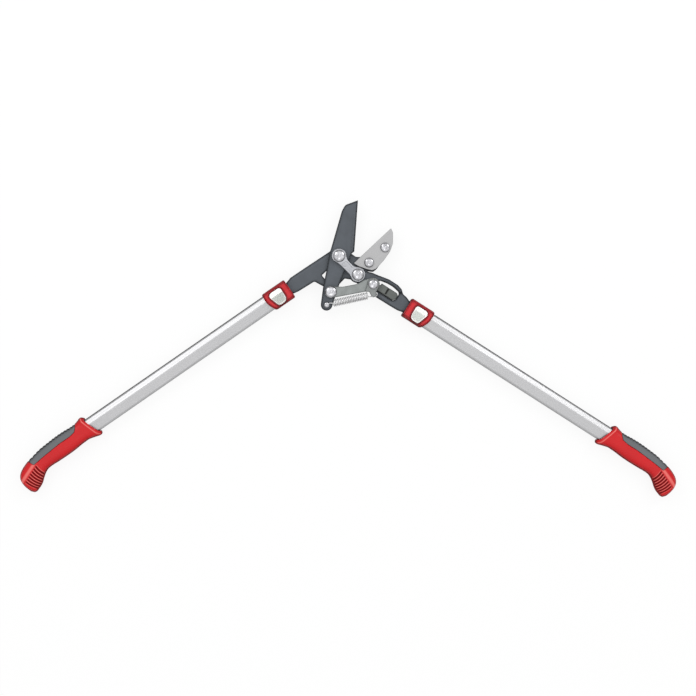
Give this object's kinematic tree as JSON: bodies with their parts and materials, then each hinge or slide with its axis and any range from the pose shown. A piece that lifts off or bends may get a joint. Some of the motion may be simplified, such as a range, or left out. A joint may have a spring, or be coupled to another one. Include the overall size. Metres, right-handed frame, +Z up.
{
  "type": "anvil lopper",
  "caption": "Compound anvil lopper with telescopic silver handles, red collars and grips, dark steel blade and levers, and a coil return spring, lying open on its back",
  "frame": {"origin": "middle of the footprint, on the floor that the lopper lies on", "axes": "+X from the left handle to the right handle, +Y from the grips to the blade, +Z up out of the floor, towards the heads of the bolts"},
  "size_m": [0.9506, 0.4328, 0.032],
  "materials": {
    "coated_steel": "dark grey non-stick coating, satin",
    "anvil_alloy": "matte grey alloy",
    "cast_link": "cast and tumbled",
    "bright_steel": "bright plated",
    "rack_steel": "olive grey, dull",
    "aluminium_tube": "satin anodised",
    "red_plastic": "semi gloss red",
    "silver_plastic": "silver grey, semi gloss",
    "grey_rubber": "soft matte dark grey",
    "black_plastic": "matte black"
  },
  "bodies": {
    "anvil_side": {"anvil_lever": "coated_steel", "anvil_plate": "anvil_alloy", "anvil_screw_1": "bright_steel", "anvil_screw_2": "bright_steel", "bridge_link": "cast_link", "pivot_bolt": "bright_steel", "pivot_nut": "bright_steel", "lever_bolt": "bright_steel", "lever_nut": "bright_steel", "left_inner_tube": "aluminium_tube", "left_tube_rivet_1": "bright_steel", "left_tube_rivet_2": "bright_steel", "left_glide_bush": "black_plastic"},
    "blade": {"blade": "coated_steel", "link_rivet": "bright_steel", "spring_screw": "bright_steel"},
    "drive_link": {"drive_link": "cast_link", "drive_pin": "bright_steel"},
    "pawl": {"ratchet_pawl": "cast_link"},
    "return_spring": {"return_spring": "bright_steel"},
    "ratchet_side": {"ratchet_lever": "coated_steel", "ratchet_rack": "rack_steel", "rack_rivet_1": "bright_steel", "rack_rivet_2": "bright_steel", "right_inner_tube": "aluminium_tube", "right_tube_rivet_1": "bright_steel", "right_tube_rivet_2": "bright_steel", "right_glide_bush": "black_plastic"},
    "left_handle": {"left_outer_tube": "aluminium_tube", "left_collar": "red_plastic", "left_grip": "red_plastic", "left_grip_pad": "grey_rubber"},
    "right_handle": {"right_outer_tube": "aluminium_tube", "right_collar": "red_plastic", "right_grip": "red_plastic", "right_grip_pad": "grey_rubber"},
    "left_button": {"left_lock_button": "silver_plastic"},
    "right_button": {"right_lock_button": "silver_plastic"}
  },
  "joints": [
    {"name": "lever_swing", "type": "hinge", "parent": "anvil_side", "child": "ratchet_side", "pos_m": [0.00905, 0.10876, 0.0125], "axis": [0, 0, -1], "range_deg": [0, 86]},
    {"name": "blade_swing", "type": "hinge", "parent": "anvil_side", "child": "blade", "pos_m": [-0.01795, 0.13566, 0.0125], "axis": [0, 0, -1], "range_deg": [0, 42.6]},
    {"name": "link_swing", "type": "hinge", "parent": "blade", "child": "drive_link", "pos_m": [-0.02985, 0.08376, 0.0125], "axis": [0, 0, 1], "range_deg": [0, 11.2]},
    {"name": "pawl_swing", "type": "hinge", "parent": "drive_link", "child": "pawl", "pos_m": [0.03094, 0.09473, 0.0125], "axis": [0, 0, -1], "range_deg": [0, 6]},
    {"name": "spring_swing", "type": "hinge", "parent": "blade", "child": "return_spring", "pos_m": [-0.03595, 0.06536, 0.0125], "axis": [0, 0, 1], "range_deg": [0, 9.5]},
    {"name": "left_extend", "type": "slide", "parent": "anvil_side", "child": "left_handle", "axis": [-0.8231, -0.5678, 0], "range_m": [0, 0.25]},
    {"name": "right_extend", "type": "slide", "parent": "ratchet_side", "child": "right_handle", "axis": [0.842, -0.5395, 0], "range_m": [0, 0.25]},
    {"name": "left_press", "type": "slide", "parent": "left_handle", "child": "left_button", "axis": [0, 0, -1], "range_m": [0, 0.002], "stiffness_N_per_m": 400, "springref_m": -0.001},
    {"name": "right_press", "type": "slide", "parent": "right_handle", "child": "right_button", "axis": [0, 0, -1], "range_m": [0, 0.002], "stiffness_N_per_m": 400, "springref_m": -0.001}
  ],
  "couplings": [
    {"joint": "blade_swing", "follows": "lever_swing", "ratio": 0.495},
    {"joint": "link_swing", "follows": "lever_swing", "ratio": 0.13},
    {"joint": "spring_swing", "follows": "lever_swing", "ratio": 0.1095}
  ]
}
